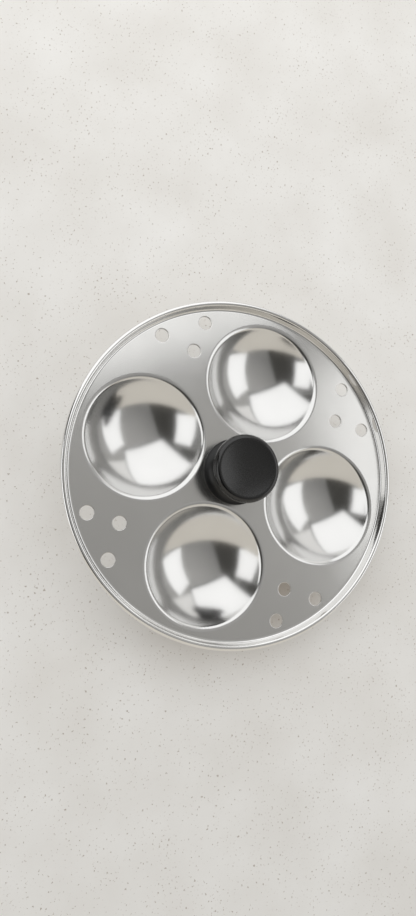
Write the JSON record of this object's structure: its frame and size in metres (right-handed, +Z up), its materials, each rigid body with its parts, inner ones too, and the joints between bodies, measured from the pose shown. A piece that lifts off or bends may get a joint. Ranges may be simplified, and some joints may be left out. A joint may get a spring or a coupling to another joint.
{
  "type": "idli steamer plate",
  "caption": "Round pressed steel plate with spherical bowls for steaming idlis, steam vents, a rolled rim and a black lifting knob in the middle.",
  "frame": {"origin": "under the middle of the plate, at the level that the bottoms of the bowls stand on", "axes": "+Z up along the knob, +X and +Y through the middles of two neighbouring bowls"},
  "size_m": [0.2114, 0.2114, 0.0409],
  "materials": {
    "steel_sheet": "satin on the flat, polished in the bowls and on the rim",
    "phenolic": "fine matt moulded face with a smoother rim",
    "brass": "turned",
    "plated_steel": "bright zinc plate"
  },
  "bodies": {
    "root": {"plate": "steel_sheet", "knob": "phenolic", "knob_insert": "brass", "plain_washer": "plated_steel", "spring_washer": "plated_steel", "knob_screw": "plated_steel"}
  },
  "joints": []
}
